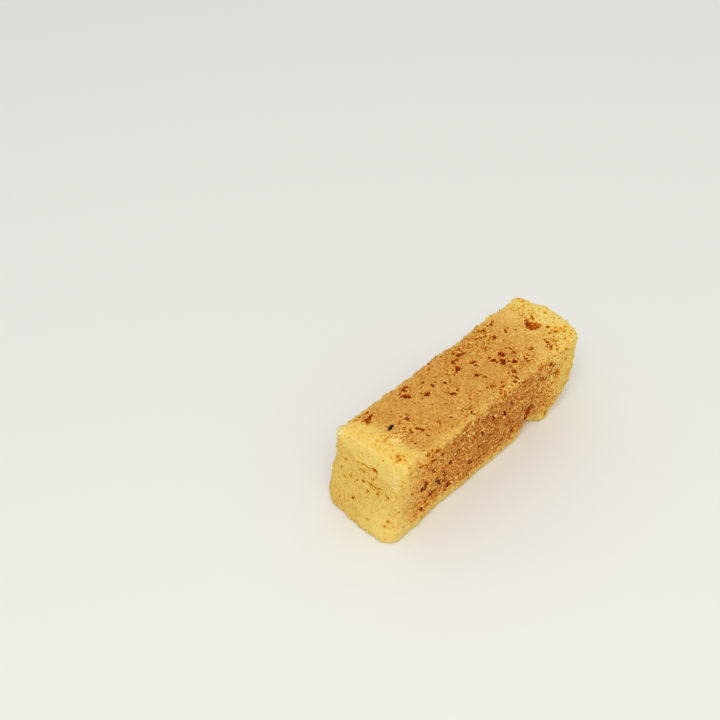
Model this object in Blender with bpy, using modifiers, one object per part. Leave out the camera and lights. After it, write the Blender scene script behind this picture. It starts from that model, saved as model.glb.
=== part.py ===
"""Mysore pak: one bar of gram-flour and ghee fudge, cut from its tray with a knife.

The bar lies along X. Its pale near end is at -X, its toasted top looks along +Z, and its crumbly
right side looks along -Y. The origin is the middle of the footprint's box, on the ground.
"""

import math
import random

import bmesh
import bpy
from mathutils import Matrix, Vector, noise
from mathutils.bvhtree import BVHTree

MM = 0.001  # all lengths are in metres
X, Y, Z = Vector((1, 0, 0)), Vector((0, 1, 0)), Vector((0, 0, 1))

# The bar as the knife left it
TOP_LENGTH = 72.5 * MM
TOP_WIDTH = 24.5 * MM
HEIGHT = 28 * MM
NEAR_SKEW = 2.0 * MM  # the near cut isn't square: its left top corner reaches this much further
NEAR_FOOT = 5.0 * MM  # the foot of the near cut stands out beyond its top
FAR_TUCK = 0.4 * MM  # the foot of the far end lies this far in under the top
FAR_BULGE = 3.9 * MM  # the far end was broken off rather than cut, and bows out
BULGE_FLATNESS = 2.5  # the power of how squarely it bows
RIGHT_LEAN = 2.0 * MM  # both long cuts lean: their foot lies this much further to +Y
LEFT_LEAN = 3.1 * MM

# How far each kind of edge has rounded and crumbled
NEAR_TOP_ROUND = 3.2 * MM  # at the right corner, from where the edge sharpens to the left one
NEAR_TOP_SHARP = 1.0 * MM
TOP_ROUND = 1.8 * MM
UPRIGHT_ROUND = 1.4 * MM
FOOT_ROUND = 3.0 * MM
NEAR_FOOT_ROUND = 1.5 * MM
MOST_ROUND = max(NEAR_TOP_ROUND, FOOT_ROUND)
FOOT_SPARE = 1.0 * MM  # the block reaches this far below the ground until its foot is cut flat
ROUND_SEGMENTS = 3
BLOCK_CUTS = 7  # across each face of the block, so that its far end can bow
BULGE_POWER = 4  # the bow keeps to the far end

# The surface
GRID = 1.5 * MM
RELAX_PASSES = 2
SWELL_SIZE = 11 * MM
SWELL_DEPTH = 0.45 * MM
CRAG_SIZE = 3.4 * MM
CRAG_DEPTH = 0.52 * MM
CRAG_LAYERS = 3  # each layer of crags is finer and lower than the last
CRAG_STEP = 2.1
CRAG_FALL = 0.9
TOP_CRAG_SHARE = 0.3  # the top was the smooth surface of the set slab
NEAR_CRAG_SHARE = 0.5  # the near end was pressed smooth by the knife

# Where the bar stands out, or is worn in if the height is negative: crumbs at the two left corners of
# the top, the swollen near foot with its two corners, the start of the right side's foot, and a chip
# that stands out of the foot beside the bite. Each is a place, a radius and a height.
LUMPS = (
    (Vector((-36.4, 11.4, 27.8)) * MM, 2.2 * MM, 1.0 * MM),
    (Vector((36.5, 11.0, 27.5)) * MM, 2.8 * MM, 1.2 * MM),
    (Vector((-39.8, -9.6, 1.0)) * MM, 5.0 * MM, 0.4 * MM),
    (Vector((-40.6, -3.0, 1.0)) * MM, 10.0 * MM, 1.1 * MM),
    (Vector((-41.5, 13.5, 1.0)) * MM, 4.5 * MM, -0.8 * MM),
    (Vector((-32.0, -10.4, 1.5)) * MM, 10.5 * MM, 1.1 * MM),
    (Vector((25.4, -10.6, 0.6)) * MM, 2.2 * MM, 0.9 * MM),
)

# The far lower corner on the right is broken away along the plane through these three points
BREAK_POINTS = (
    Vector((37.5, -12.0, 12.0)) * MM,
    Vector((24.8, -10.5, 0.0)) * MM,
    Vector((36.5, 9.0, 0.0)) * MM,
)

# The bite out of the right side's foot: its middle, and its reach along, into and up the side
BITE_AT = Vector((18.4, -11.6, 0.5)) * MM
BITE_REACH = Vector((4.3, 5.2, 6.0)) * MM

# The largest holes of a face: place along and across it, length, breadth, and turn in degrees
TOP_HOLES = (
    (30.0, -0.5, 4.8, 3.0, -40),
    (32.5, -6.5, 2.6, 1.6, -50),
    (-15.5, 7.0, 3.8, 2.2, -45),
    (-29.0, 8.0, 2.4, 1.9, -45),
    (-10.5, 3.5, 2.4, 1.8, -20),
    (13.0, -4.5, 3.4, 1.7, -60),
    (15.0, -1.0, 2.1, 1.8, 0),
    (2.0, 3.5, 2.2, 1.7, -70),
    (-6.0, -2.0, 2.2, 1.6, -45),
    (22.0, 9.0, 1.9, 1.6, 0),
)
RIGHT_HOLES = (
    (16.0, 11.0, 4.8, 3.2, 20),
    (-27.0, 14.0, 3.6, 1.9, 70),
    (-23.5, 22.0, 2.8, 1.8, 30),
    (-21.5, 11.5, 2.8, 2.0, 60),
    (5.0, 18.5, 3.4, 1.7, 75),
    (-1.5, 14.0, 2.2, 1.8, 0),
    (8.5, 8.5, 2.4, 1.7, 20),
    (-9.0, 9.0, 2.2, 1.7, 45),
)
LEFT_HOLE_COUNT = 8  # the left side looks like the right one, so its holes fall as theirs do
LEFT_HOLE_LENGTHS = (2.0, 4.2)
LEFT_HOLE_MARGIN = 4.0  # they keep this far from the side's edges
HOLE_BREADTH_SHARE = 0.65  # of its length
HOLE_DEPTH_SHARE = 0.8  # of its breadth
HOLE_ROUGHNESS = 0.22  # of its reach
HOLE_BUMPS = 1.6  # bumps of that roughness across half its reach
CLEAR_OF_BAR = 60 * MM  # rays that look for the surface start this far out
SEED = 7

BODY_COLOUR = (0.61, 0.31, 0.075, 1.0)
BODY_ROUGHNESS = 0.75


def clear_scene():
    for obj in list(bpy.data.objects):
        bpy.data.objects.remove(obj, do_unlink=True)


def new_collection(name):
    collection = bpy.data.collections.new(name)
    bpy.context.scene.collection.children.link(collection)
    return collection


def new_object(name, bm, collection):
    """An object made from a bmesh, which this frees."""
    mesh = bpy.data.meshes.new(name)
    bm.to_mesh(mesh)
    bm.free()
    obj = bpy.data.objects.new(name, mesh)
    collection.objects.link(obj)
    return obj


def new_cutter(name, bm, collection):
    cutter = new_object(name, bm, collection)
    cutter.hide_render = True
    cutter.display_type = "WIRE"
    return cutter


def evaluated_bmesh(obj):
    """The object's shape as its modifiers leave it."""
    bm = bmesh.new()
    bm.from_object(obj, bpy.context.evaluated_depsgraph_get())
    return bm


def cut_with(obj, name, cutters):
    cut = obj.modifiers.new(name, "BOOLEAN")
    cut.operation = "DIFFERENCE"
    cut.operand_type = "COLLECTION"
    cut.collection = cutters


def slice_off(bm, place, outward):
    """Takes away what lies beyond a plane, and closes the cut with one face."""
    geometry = bm.verts[:] + bm.edges[:] + bm.faces[:]
    bmesh.ops.bisect_plane(bm, geom=geometry, plane_co=place, plane_no=outward, clear_outer=True)
    open_edges = [edge for edge in bm.edges if edge.is_boundary]
    bmesh.ops.holes_fill(bm, edges=open_edges, sides=0)


def knife_cut(along, across, up):
    """Where a point of the square block, -1 to 1 each way, lies once the cuts are slanted."""
    low = (1 - up) / 2
    near = (1 - along) / 2
    x = along * TOP_LENGTH / 2
    x -= near * across * NEAR_SKEW / 2
    x -= low * (near * NEAR_FOOT + (1 - near) * FAR_TUCK)
    x += (1 - near) ** BULGE_POWER * (1 - abs(across) ** BULGE_FLATNESS) * FAR_BULGE
    lean = RIGHT_LEAN + (LEFT_LEAN - RIGHT_LEAN) * (1 + across) / 2
    y = across * TOP_WIDTH / 2 + low * lean
    z = HEIGHT - low * (HEIGHT + FOOT_SPARE)
    return Vector((x, y, z))


def edge_round(edge):
    """How far an edge of the square block has rounded, from the ways that its two faces look."""
    first, second = (face.normal for face in edge.link_faces)
    if first.dot(second) > 0.5:
        return 0.0
    if min(first.z, second.z) < -0.5:
        return NEAR_FOOT_ROUND if min(first.x, second.x) < -0.5 else FOOT_ROUND
    if max(first.z, second.z) < 0.5:
        return UPRIGHT_ROUND
    if min(first.x, second.x) < -0.5:
        to_left = (1 + sum(vert.co.y for vert in edge.verts) / 2) / 2
        return NEAR_TOP_ROUND + (NEAR_TOP_SHARP - NEAR_TOP_ROUND) * to_left
    return TOP_ROUND


def rounded_block(collection):
    """The block with its slanted cuts. A Bevel modifier rounds each edge by its own weight."""
    bm = bmesh.new()
    bmesh.ops.create_cube(bm, size=2)
    bmesh.ops.subdivide_edges(bm, edges=bm.edges, cuts=BLOCK_CUTS, use_grid_fill=True)
    bm.normal_update()
    weights = bm.edges.layers.float.new("bevel_weight_edge")
    for edge in bm.edges:
        edge[weights] = edge_round(edge) / MOST_ROUND
    for vert in bm.verts:
        vert.co = knife_cut(*vert.co)
    block = new_object("block", bm, collection)
    bevel = block.modifiers.new("worn_edges", "BEVEL")
    bevel.limit_method = "WEIGHT"
    bevel.width = MOST_ROUND
    bevel.segments = ROUND_SEGMENTS
    return block


def rough_lump(place, frame, reach, seed):
    """An uneven ball that reaches so far along the three ways of a frame."""
    bm = bmesh.new()
    bmesh.ops.create_icosphere(bm, subdivisions=2, radius=1)
    for vert in bm.verts:
        vert.co *= 1 + HOLE_ROUGHNESS * noise.noise(vert.co * HOLE_BUMPS + X * seed)
    bmesh.ops.scale(bm, vec=reach, verts=bm.verts)
    bmesh.ops.transform(bm, matrix=Matrix.Translation(place) @ frame.to_4x4(), verts=bm.verts)
    return bm


def break_corner(bm):
    first, second, third = BREAK_POINTS
    outward = (second - first).cross(third - first).normalized()
    slice_off(bm, first, outward if outward.x > 0 else -outward)


def relief(place, normal):
    """How far the surface stands out of the plain block: long swells, crags and the lumps."""
    crag_share = 1 - (1 - TOP_CRAG_SHARE) * max(0, normal.z) ** 2
    crag_share -= (1 - NEAR_CRAG_SHARE) * max(0, -normal.x) ** 2
    swell = SWELL_DEPTH * noise.noise(place / SWELL_SIZE)
    crags = noise.fractal(place / CRAG_SIZE, CRAG_FALL, CRAG_STEP, CRAG_LAYERS) * CRAG_DEPTH * crag_share
    lumps = sum(height * max(0, 1 - ((place - at).length / radius) ** 2) for at, radius, height in LUMPS)
    return swell + crags + lumps


def roughen(bm):
    """Relaxes the even mesh, then moves each point of it out or in by the relief."""
    for _ in range(RELAX_PASSES):
        bmesh.ops.smooth_vert(
            bm, verts=bm.verts, factor=0.5, use_axis_x=True, use_axis_y=True, use_axis_z=True
        )
    bm.normal_update()
    for vert, normal in [(vert, vert.normal.copy()) for vert in bm.verts]:
        vert.co += normal * relief(vert.co, normal)


def hole_on(tree, along, across, hole, seed):
    """The lump that cuts one hole, half sunk where a ray straight into the face meets the bar."""
    place_along, place_across, length, breadth, turn = hole
    outward = along.cross(across)
    start = (along * place_along + across * place_across) * MM + outward * CLEAR_OF_BAR
    place = tree.ray_cast(start, -outward)[0]
    face_frame = Matrix((along, across, outward)).transposed()
    spin = Matrix.Rotation(math.radians(turn), 3, "Z")
    reach = Vector((length / 2, breadth / 2, HOLE_DEPTH_SHARE * breadth)) * MM
    return rough_lump(place, face_frame @ spin, reach, seed)


def left_holes():
    """Holes for the left side, one in each stretch of its length, seen with -X to the right."""
    draw = random.Random(SEED)
    stretch = (TOP_LENGTH / MM - 2 * LEFT_HOLE_MARGIN) / LEFT_HOLE_COUNT
    holes = []
    for index in range(LEFT_HOLE_COUNT):
        along = LEFT_HOLE_MARGIN - TOP_LENGTH / MM / 2 + stretch * (index + draw.random())
        up = draw.uniform(LEFT_HOLE_MARGIN, HEIGHT / MM - LEFT_HOLE_MARGIN)
        length = draw.uniform(*LEFT_HOLE_LENGTHS)
        holes.append((along, up, length, length * HOLE_BREADTH_SHARE, draw.uniform(0, 180)))
    return holes


def cut_holes(bar, tree, cutters):
    """Cuts the holes of the three sides that have large ones."""
    faces = (("top", X, Y, TOP_HOLES), ("right", X, Z, RIGHT_HOLES), ("left", -X, Z, left_holes()))
    for face, along, across, holes in faces:
        for index, hole in enumerate(holes):
            lump = hole_on(tree, along, across, hole, SEED + index)
            new_cutter(f"{face}_hole_{index}", lump, cutters)
    cut_with(bar, "holes", cutters)


def body_material():
    material = bpy.data.materials.new("toasted_fudge")
    material.use_nodes = True
    shader = material.node_tree.nodes["Principled BSDF"]
    shader.inputs["Base Color"].default_value = BODY_COLOUR
    shader.inputs["Roughness"].default_value = BODY_ROUGHNESS
    shader.inputs["Metallic"].default_value = 0.0
    return material


def rough_block(workshop, bite_cutters):
    """The block with its broken corner, its bite and its relief, cut flat on the ground."""
    block = rounded_block(workshop)
    bm = evaluated_bmesh(block)
    break_corner(bm)
    broken = new_object("broken_block", bm, workshop)
    new_cutter("foot_bite", rough_lump(BITE_AT, Matrix.Identity(3), BITE_REACH, SEED), bite_cutters)
    cut_with(broken, "bite", bite_cutters)
    even = broken.modifiers.new("even_mesh", "REMESH")
    even.mode = "VOXEL"
    even.voxel_size = GRID
    bm = evaluated_bmesh(broken)
    roughen(bm)
    slice_off(bm, Vector(), -Z)
    for helper in (block, broken):
        bpy.data.objects.remove(helper, do_unlink=True)
    return bm


def centre_footprint(bar, cutters):
    """Moves the bar and its cutters so that the origin is the middle of the footprint's box."""
    places = [vert.co for vert in bar.data.vertices]
    middle = [(min(axis) + max(axis)) / 2 for axis in zip(*places)]
    shift = Matrix.Translation((-middle[0], -middle[1], 0))
    for obj in [bar, *cutters.objects]:
        obj.data.transform(shift)
    print(f"the block's own origin is {-middle[0] / MM:.3f}, {-middle[1] / MM:.3f} mm from the bar's")


def main():
    clear_scene()
    bar_collection = new_collection("mysore_pak")
    bite_cutters = new_collection("bite_cutters")
    hole_cutters = new_collection("hole_cutters")
    bm = rough_block(bar_collection, bite_cutters)
    tree = BVHTree.FromBMesh(bm)
    bar = new_object("mysore_pak_bar", bm, bar_collection)
    cut_holes(bar, tree, hole_cutters)
    centre_footprint(bar, hole_cutters)
    bar.data.materials.append(body_material())
    bar.data.shade_smooth()


main()
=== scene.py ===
# %% [markdown]
# # A bar of mysore pak
# Mysore pak is gram flour stirred into boiling syrup while hot ghee is poured over it. The ghee
# froths, and the froth sets full of small holes. The slab's outside cools first and stays yellow,
# and its middle stays hot and browns. This lesson takes the plain solid of one bar and gives it that
# surface: holes, crumb, toasting, and the loose grains that a knife leaves.

import math
import random

import bmesh
import bpy
import numpy as np
from mathutils import Matrix, Vector, noise
from mathutils.bvhtree import BVHTree
from mathutils.kdtree import KDTree


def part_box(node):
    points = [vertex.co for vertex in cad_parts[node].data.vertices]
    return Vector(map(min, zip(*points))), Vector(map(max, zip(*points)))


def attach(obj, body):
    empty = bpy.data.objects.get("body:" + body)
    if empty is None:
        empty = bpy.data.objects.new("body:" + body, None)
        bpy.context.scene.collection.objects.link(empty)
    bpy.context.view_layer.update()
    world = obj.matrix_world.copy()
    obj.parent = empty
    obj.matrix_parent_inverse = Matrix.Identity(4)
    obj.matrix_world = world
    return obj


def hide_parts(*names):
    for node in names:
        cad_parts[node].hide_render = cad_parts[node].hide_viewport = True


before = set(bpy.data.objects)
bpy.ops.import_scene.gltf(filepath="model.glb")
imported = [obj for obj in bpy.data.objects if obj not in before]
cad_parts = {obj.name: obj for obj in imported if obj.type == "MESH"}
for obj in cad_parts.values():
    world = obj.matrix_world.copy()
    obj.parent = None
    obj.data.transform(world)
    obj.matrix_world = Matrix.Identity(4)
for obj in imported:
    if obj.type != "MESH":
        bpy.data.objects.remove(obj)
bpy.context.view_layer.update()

MM = 0.001  # every length below is in metres, written as millimetres times this
X, Y, Z = Vector((1, 0, 0)), Vector((0, 1, 0)), Vector((0, 0, 1))
BAR_NODE = "mysore_pak_bar"
SEED = 11
noise.seed_set(SEED)  # noise_vector starts from the clock without it

low_corner, high_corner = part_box(BAR_NODE)
print("plain solid, mm:", [round(side / MM, 1) for side in high_corner - low_corner])

# %% [markdown]
# ## The view
# The camera comes first, so that every later step can be judged from the same place. It looks down
# on the bar's near corner through a short telephoto lens. Its turn is counted from +Y towards +X,
# and its dip from level.

# %% Set up the camera
CAMERA_PLACE = Vector((-197.97, -182.53, 298.89)) * MM
CAMERA_TURN = math.radians(41.65)
CAMERA_DIP = math.radians(44.29)
CAMERA_ROLL = math.radians(-3.78)
CAMERA_LENS = 68.4  # in mm, as Blender wants it
CAMERA_SENSOR = 36
CAMERA_CLIP = 10 * MM


def aim_camera():
    data = bpy.data.cameras.new("camera")
    data.lens = CAMERA_LENS
    data.sensor_width = CAMERA_SENSOR
    data.clip_start = CAMERA_CLIP
    camera = bpy.data.objects.new("camera", data)
    turn = Matrix.Rotation(-CAMERA_TURN, 4, "Z")
    dip = Matrix.Rotation(math.pi / 2 - CAMERA_DIP, 4, "X")
    roll = Matrix.Rotation(CAMERA_ROLL, 4, "Z")
    camera.matrix_world = Matrix.Translation(CAMERA_PLACE) @ turn @ dip @ roll
    bpy.context.scene.collection.objects.link(camera)
    bpy.context.scene.camera = camera


aim_camera()
print("camera stands", round(CAMERA_PLACE.length / MM), "mm from the bar's foot")

# %% [markdown]
# ## Small tools
# Each piece is worked on as a bmesh, Blender's editable mesh, and then put in the scene. A modifier
# that has done its work is settled: its result becomes the piece's own mesh. The modifier used most
# is Remesh, which lays an even skin of squares over a piece. Masks fade from 0 to 1 by a smooth step,
# because a straight slope would show a crease at either end.


# %% Tools for pieces
def add_piece(name, bm):
    """An object made from a bmesh, which this frees."""
    mesh = bpy.data.meshes.new(name)
    bm.to_mesh(mesh)
    bm.free()
    piece = bpy.data.objects.new(name, mesh)
    bpy.context.scene.collection.objects.link(piece)
    return piece


def settle(piece):
    """Makes what the modifiers show the piece's own mesh."""
    graph = bpy.context.evaluated_depsgraph_get()
    mesh = bpy.data.meshes.new_from_object(piece.evaluated_get(graph))
    old = piece.data
    piece.modifiers.clear()
    piece.data = mesh
    mesh.name = old.name
    bpy.data.meshes.remove(old)


def smooth_step(value, low, high):
    """0 up to the low limit, 1 from the high one, and an even slope between."""
    t = np.clip((value - low) / (high - low), 0, 1)
    return t * t * (3 - 2 * t)


def between(low, high, share):
    """The first value where the share is 0, and the second where it is 1."""
    return low + (high - low) * share


def remesh(piece, grid):
    """Covers the piece in an even skin of squares of that size."""
    even = piece.modifiers.new("even_skin", "REMESH")
    even.mode = "VOXEL"
    even.voxel_size = grid
    settle(piece)


# %% [markdown]
# ## The form
# The solid is a bar of flat facets. It could be subdivided, but its facets would still show. So a
# copy is covered in an even skin of small squares and that skin is relaxed, which melts the facets
# and keeps the slanted cuts, the bowed far end, the bite and the broken corner. The solid's plain
# round holes are closed first, and ragged ones are cut in their place later. To find them, another
# copy is swollen until its holes shut, and then shrunk back: a corner far under that one is in a hole.

# %% Melt the facets
FORM_GRID = 0.45 * MM
WELD = 0.001 * MM
MELT_PASSES = 4
MELT_FACTOR = 0.5  # how far a pass moves a corner to the middle of its neighbours
SWELL = 2.0 * MM
SWOLLEN_GRID = 0.6 * MM
IN_A_HOLE = 0.25 * MM  # a corner that lies deeper than this under the swollen copy is in a hole
HOLES_FROM = 3.0 * MM  # lower than this, hollows belong to the foot and its bite


def push_out(mesh, distance):
    """Moves each corner of a mesh along the way that the surface looks there."""
    for vert, normal in zip(mesh.vertices, [corner.vector.copy() for corner in mesh.vertex_normals]):
        vert.co += normal * distance
    mesh.update()


def copy_of(piece, name):
    bm = bmesh.new()
    bm.from_mesh(piece.data)
    return add_piece(name, bm)


def close_holes(form):
    swollen = copy_of(form, "swollen")
    push_out(swollen.data, SWELL)
    remesh(swollen, SWOLLEN_GRID)
    push_out(swollen.data, -SWELL)
    tree = BVHTree.FromObject(swollen, bpy.context.evaluated_depsgraph_get())
    bpy.data.objects.remove(swollen)
    closed = 0
    for vert in form.data.vertices:
        nearest, normal = tree.find_nearest(vert.co)[:2]
        if vert.co.z > HOLES_FROM and (nearest - vert.co).dot(normal) > IN_A_HOLE:
            vert.co = nearest
            closed += 1
    remesh(form, FORM_GRID)
    return closed


def smooth_form():
    bm = bmesh.new()
    bm.from_mesh(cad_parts[BAR_NODE].data)
    bmesh.ops.remove_doubles(bm, verts=bm.verts, dist=WELD)
    form = add_piece("mysore_pak", bm)
    remesh(form, FORM_GRID)
    print("corners moved out of holes:", close_holes(form))
    melt = form.modifiers.new("melt", "SMOOTH")
    melt.factor = MELT_FACTOR
    melt.iterations = MELT_PASSES
    settle(form)
    return form


bar = smooth_form()
form_tree = BVHTree.FromObject(bar, bpy.context.evaluated_depsgraph_get())
print("form:", len(bar.data.polygons), "squares")

# %% [markdown]
# ## How far from either end
# Much of what follows fades with the distance from an end: the knife smeared the sides beside the
# near cut, and both ends stayed pale. The distance could be measured to the mesh, but then each lump
# of an end would show in the fades. So each end has a formula: the near cut is a slanted plane, and
# the far end a bow.

# %% Measure from the ends
NEAR_CUT = Vector((1, 0.082, -0.179))  # the way into the bar from its slanted near cut
NEAR_CUT_AT = -40.6  # in mm along that way
FAR_END_AT = 36.9  # in mm along X, at the corners of the far end
FAR_BOW = 3.9  # in mm, how far its middle stands out
HALF_WIDTH = 12.3  # in mm


def from_near_cut(places):
    """How far a place, or each of many, lies from the slanted near cut, in mm."""
    return places @ np.array(NEAR_CUT) / MM - NEAR_CUT_AT


def to_far_end(places):
    """How far a place, or each of many, lies from the bowed far end, in mm."""
    x, y, _ = (places / MM).T
    return FAR_END_AT + FAR_BOW * (1 - (y / HALF_WIDTH) ** 2) - x


middle = np.array(low_corner + high_corner) / 2
print("from the middle to the ends, mm:", round(from_near_cut(middle), 1), round(to_far_end(middle), 1))

# %% [markdown]
# ## The holes
# Bubbles of ghee left holes with ragged rims. The larger ones sit where the real bar has them, each
# given by its place on its side, its length and breadth, and its turn. One ball would cut a neat hollow,
# so a hole is a cluster of small rough balls that overlap, and a long thin cluster makes a crack.
# Smaller holes are strewn by chance. All the balls are melted into one cutter first, which makes a
# single clean cut. The near end's cracks are too thin to cut, and come with the crumb.

# %% Places of the larger holes
# Along and across the top, that is along X and Y, then length, breadth and turn in degrees
TOP_HOLES = (
    (-28.5, 6.5, 2.3, 1.9, -45),
    (-30.3, -2.0, 2.6, 0.6, 30),
    (-31.7, -8.5, 1.0, 0.8, 0),
    (-32.3, -9.5, 0.8, 0.6, 0),
    (-20.8, -0.9, 1.7, 0.8, -50),
    (-23.3, -5.0, 1.3, 0.7, 20),
    (-20.8, -6.3, 3.4, 0.7, -75),
    (-14.9, 5.8, 4.0, 1.8, -60),
    (-13.4, 7.6, 1.6, 1.1, 20),
    (-9.9, 2.0, 2.2, 1.6, -30),
    (-6.8, 3.0, 1.6, 0.8, 40),
    (-8.1, 5.6, 1.5, 0.7, -40),
    (-12.0, 7.8, 1.2, 0.8, 0),
    (-3.5, 1.2, 1.2, 0.8, 0),
    (-5.1, -3.5, 2.9, 0.9, -50),
    (2.9, 2.1, 1.9, 1.2, -50),
    (7.2, 6.0, 1.7, 0.9, 50),
    (7.3, 0.8, 1.0, 0.8, 0),
    (4.7, -3.4, 2.4, 0.4, -45),
    (-15.6, -7.3, 0.8, 0.6, 0),
    (-6.6, -12.0, 1.2, 0.8, 40),
    (4.3, -9.2, 1.2, 0.8, 30),
    (7.0, -10.1, 1.0, 0.7, 0),
    (15.6, -2.4, 1.9, 1.7, 0),
    (12.5, -2.8, 1.4, 1.0, -60),
    (13.4, -5.6, 2.2, 1.0, -60),
    (16.0, -7.3, 2.4, 0.7, -30),
    (12.8, -9.7, 1.9, 1.1, -70),
    (10.5, -12.1, 1.8, 0.9, -45),
    (22.5, -7.4, 1.4, 1.1, -45),
    (27.0, -10.0, 1.4, 1.0, 0),
    (30.8, -1.5, 4.4, 3.4, -55),
    (29.8, -2.3, 2.6, 1.0, -45),
    (29.9, 0.4, 1.4, 0.9, -80),
    (33.4, 1.2, 1.0, 0.6, 0),
    (33.3, -7.7, 2.0, 0.8, -60),
    (22.8, 7.6, 1.6, 1.1, 50),
    (23.7, 2.9, 1.8, 0.9, 40),
    (19.2, 3.2, 2.3, 0.8, 45),
    (16.8, 6.2, 1.4, 0.9, -45),
    (-2.7, 8.4, 1.2, 0.8, 20),
)
# Along X and up Z on the right side
RIGHT_HOLES = (
    (-23.5, 23.2, 3.6, 1.1, -42),
    (-16.3, 16.0, 1.9, 1.4, -40),
    (-19.8, 22.3, 1.2, 0.9, 0),
    (-28.2, 24.4, 1.6, 0.8, 30),
    (-26.2, 15.0, 4.0, 1.2, 85),
    (-27.2, 14.0, 2.6, 1.2, 138),
    (-21.5, 12.4, 4.0, 0.9, -66),
    (-20.2, 11.3, 1.8, 0.8, 45),
    (-16.8, 6.5, 1.5, 1.2, 0),
    (-23.3, 8.6, 2.0, 1.5, 20),
    (-25.1, 5.5, 1.8, 1.2, 0),
    (-28.1, 6.2, 1.4, 1.0, 30),
    (-32.2, 24.9, 2.8, 0.5, -20),
    (0.6, 20.6, 1.7, 1.3, 20),
    (0.0, 13.8, 1.6, 1.4, 60),
    (2.2, 10.4, 1.8, 1.1, 20),
    (6.1, 19.2, 4.0, 0.9, 80),
    (-4.7, 12.0, 2.2, 0.8, 30),
    (10.2, 7.3, 1.9, 1.2, 40),
    (-3.3, 17.2, 1.5, 1.2, 0),
    (-18.1, 12.1, 1.2, 0.9, 0),
    (-23.3, 18.9, 1.5, 1.0, 60),
    (-8.3, 8.8, 1.8, 1.2, 45),
    (17.8, 10.2, 4.8, 3.0, 15),
    (16.5, 8.2, 2.2, 1.6, -40),
    (8.8, 20.7, 1.3, 0.9, 0),
    (24.6, 24.8, 1.2, 1.0, 0),
    (21.8, 20.3, 1.3, 1.0, 45),
    (19.3, 19.7, 1.2, 0.9, 0),
    (28.4, 18.0, 2.0, 1.0, 60),
    (26.9, 15.1, 1.3, 1.0, 0),
)
# Across Y and up Z on the near end, where the knife pressed the crumb and cracked it
NEAR_HOLES = (
    (-3.6, 21.9, 1.9, 0.9, -60),
    (6.5, 19.6, 1.3, 0.8, -40),
    (6.2, 13.7, 1.1, 0.8, 0),
    (4.1, 15.2, 1.0, 0.6, 40),
    (-0.2, 15.7, 1.6, 0.7, -50),
    (-1.9, 13.4, 1.2, 0.6, 20),
    (2.7, 7.7, 1.5, 0.9, -50),
    (-8.8, 15.3, 1.5, 0.8, 60),
    (-4.0, 5.4, 1.0, 0.7, 0),
    (-10.2, 7.7, 1.2, 0.8, 30),
    (-9.5, 6.2, 1.1, 0.8, 0),
)

# %% Make one rough ball
BALL_SEGMENTS = 7
BALL_RINGS = 5
NOISE_REACH = 100  # each ball reads the noise somewhere else within this


def rough_ball(roughness, bumps, reach, draw):
    """A ball of a few faces, made uneven and then stretched, as a bmesh of its own."""
    bm = bmesh.new()
    bmesh.ops.create_uvsphere(bm, u_segments=BALL_SEGMENTS, v_segments=BALL_RINGS, radius=1)
    somewhere = Vector((draw.random(), draw.random(), draw.random())) * NOISE_REACH
    for vert in bm.verts:
        vert.co *= 1 + roughness * noise.noise(vert.co * bumps + somewhere)
    bmesh.ops.scale(bm, vec=reach, verts=bm.verts)
    return bm


def drop_into(whole, ball, place, turned):
    """Adds a ball to a larger bmesh, turned and moved, and frees the ball."""
    bmesh.ops.transform(ball, matrix=Matrix.Translation(place) @ turned.to_4x4(), verts=ball.verts)
    mesh = bpy.data.meshes.new("ball")
    ball.to_mesh(mesh)
    ball.free()
    whole.from_mesh(mesh)
    bpy.data.meshes.remove(mesh)


# %% Build one hole
LOBE_ROUGHNESS = 0.6  # of a ball's reach
LOBE_BUMPS = 1.6  # bumps of that roughness across half its reach
LOBE_BREADTHS = (0.27, 0.46)  # half a ball's width, in breadths of the hole
LOBE_STRETCHES = (0.9, 1.4)  # its length, in widths
LOBE_DEPTHS = (0.8, 1.3)  # in depths of the hole
LOBES_PER_LENGTH = 4  # balls for each breadth of the hole that its length holds
LEAST_LOBE = 0.2 * MM
LOBE_STRAY = 0.42  # how far a ball may lie off the hole's middle line, in breadths
END_ROOM = 0.6  # how much shorter than the hole that line is, in breadths
END_TAPER = 0.3  # how much smaller the balls are at its ends
NARROW_HOLE = 1.0 * MM
NARROW_DEPTH = 0.9 * MM
WIDE_HOLE = 2.4 * MM  # a wide hole is a bubble that burst open, so it is shallow
WIDE_DEPTH = 0.45 * MM
CLEAR_OF_BAR = 60 * MM  # rays that look for the surface start this far out


def add_hole(bm, place, turned, length, breadth, draw):
    """A cluster of balls, longest along the first way of a turned frame whose third way is outward."""
    count = 1 + round(LOBES_PER_LENGTH * length / breadth)
    depth = between(NARROW_DEPTH, WIDE_DEPTH, smooth_step(breadth, NARROW_HOLE, WIDE_HOLE))
    for index in range(count):
        share = draw.uniform(-1, 1) if index else 0
        stray = draw.uniform(-LOBE_STRAY, LOBE_STRAY) * breadth * (1 - share * share)
        off = turned @ Vector((share * (length - END_ROOM * breadth) / 2, stray, 0))
        wide = max(breadth * draw.uniform(*LOBE_BREADTHS) * (1 - END_TAPER * abs(share)), LEAST_LOBE)
        deep = depth * draw.uniform(*LOBE_DEPTHS)
        reach = Vector((wide * draw.uniform(*LOBE_STRETCHES), wide, deep))
        drop_into(bm, rough_ball(LOBE_ROUGHNESS, LOBE_BUMPS, reach, draw), place + off, turned)


def surface_under(along, across, place_along, place_across):
    """Where a ray straight into a side meets the bar."""
    outward = along.cross(across)
    start = along * place_along + across * place_across + outward * CLEAR_OF_BAR
    return form_tree.ray_cast(start, -outward)[0]


# %% Build the placed holes
SATELLITES = (1, 3)  # small holes beside each placed one
SATELLITE_LENGTHS = (0.35, 0.8)  # in mm
SATELLITE_BREADTH = 0.75  # of the length
SATELLITE_GAPS = (0.2, 1.0)  # in mm, from the hole's end


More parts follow.
